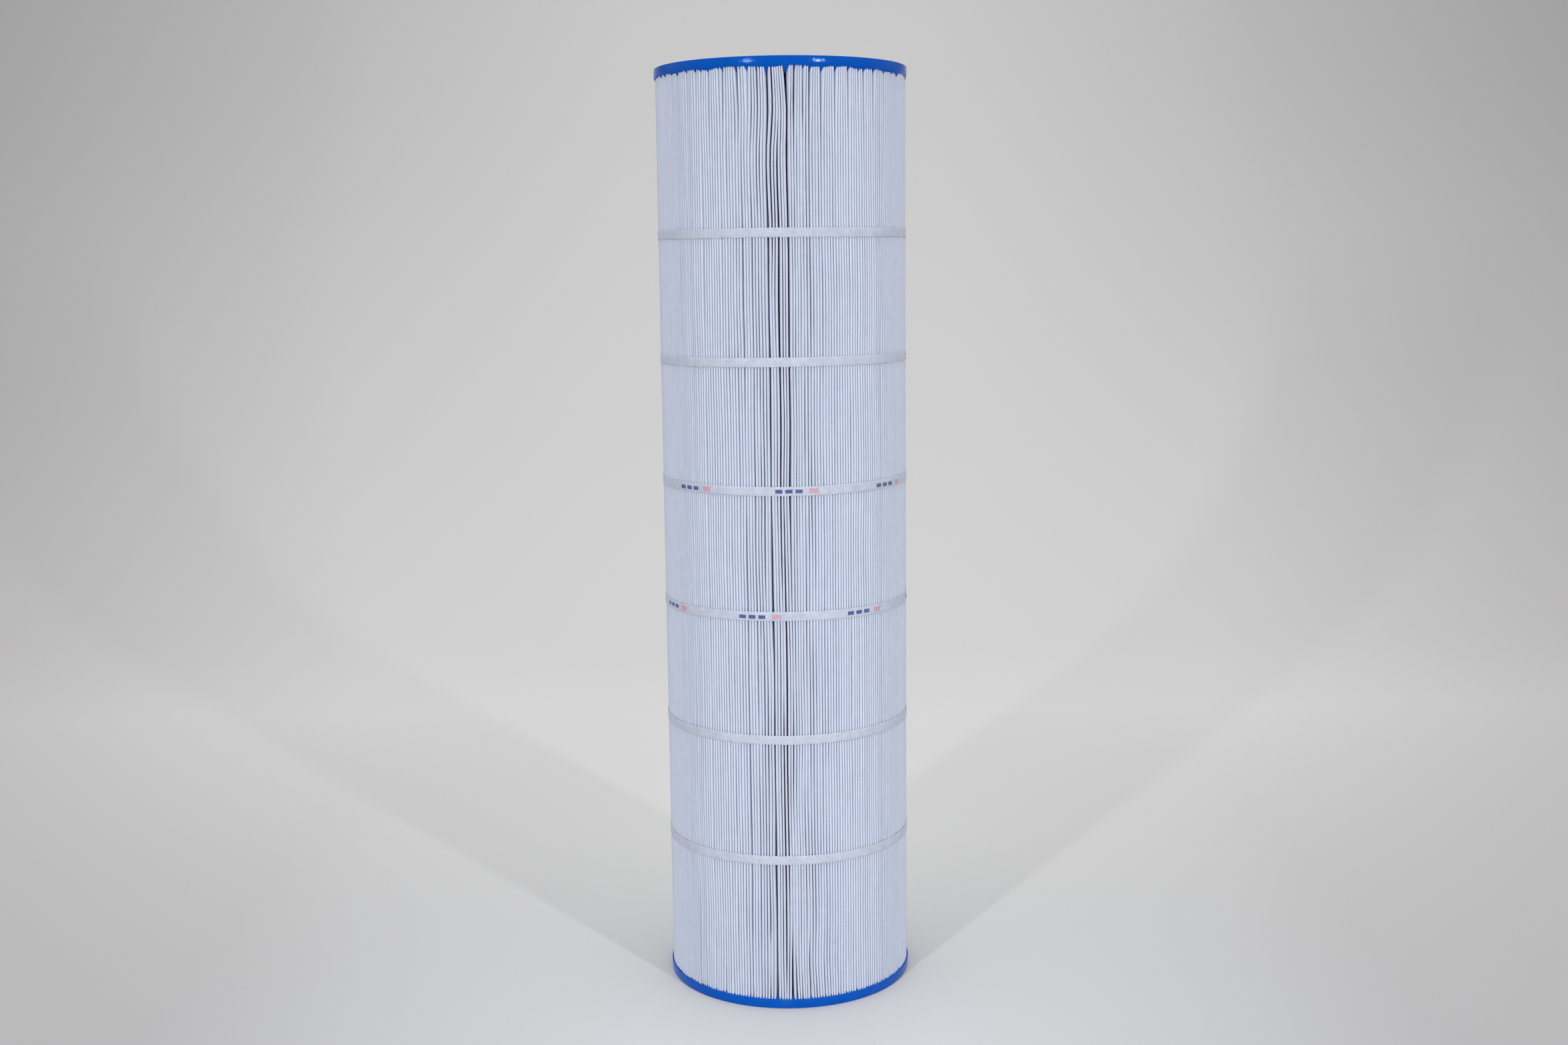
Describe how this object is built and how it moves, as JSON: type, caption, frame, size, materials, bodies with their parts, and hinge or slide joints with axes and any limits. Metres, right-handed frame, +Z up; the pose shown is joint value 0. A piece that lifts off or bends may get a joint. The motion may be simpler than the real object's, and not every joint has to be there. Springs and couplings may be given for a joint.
{
  "type": "pleated filter cartridge",
  "caption": "Tall pleated cloth cartridge for a pool or spa filter, with moulded blue end caps, a perforated core, cloth ribbons round the pleats and an open bore.",
  "frame": {"origin": "centre of the bottom end cap's outer face, on the surface the cartridge stands on", "axes": "+Z up along the cartridge's axis, -Y towards the viewer of the front, +X to that viewer's right"},
  "size_m": [0.1786, 0.1786, 0.66],
  "materials": {
    "cap_polyurethane": "moulded blue polyurethane, satin to gloss",
    "core_pvc": "white extruded tube, matte",
    "media_polyester": "spunbonded polyester cloth, bluish white, matte",
    "band_polyester": "spunbonded polyester ribbon, bluish white, matte"
  },
  "bodies": {
    "root": {"bottom_end_cap": "cap_polyurethane", "top_end_cap": "cap_polyurethane", "core_tube": "core_pvc", "pleated_media": "media_polyester", "band_1": "band_polyester", "band_2": "band_polyester", "band_3": "band_polyester", "band_4": "band_polyester", "band_5": "band_polyester", "band_6": "band_polyester"}
  },
  "joints": []
}
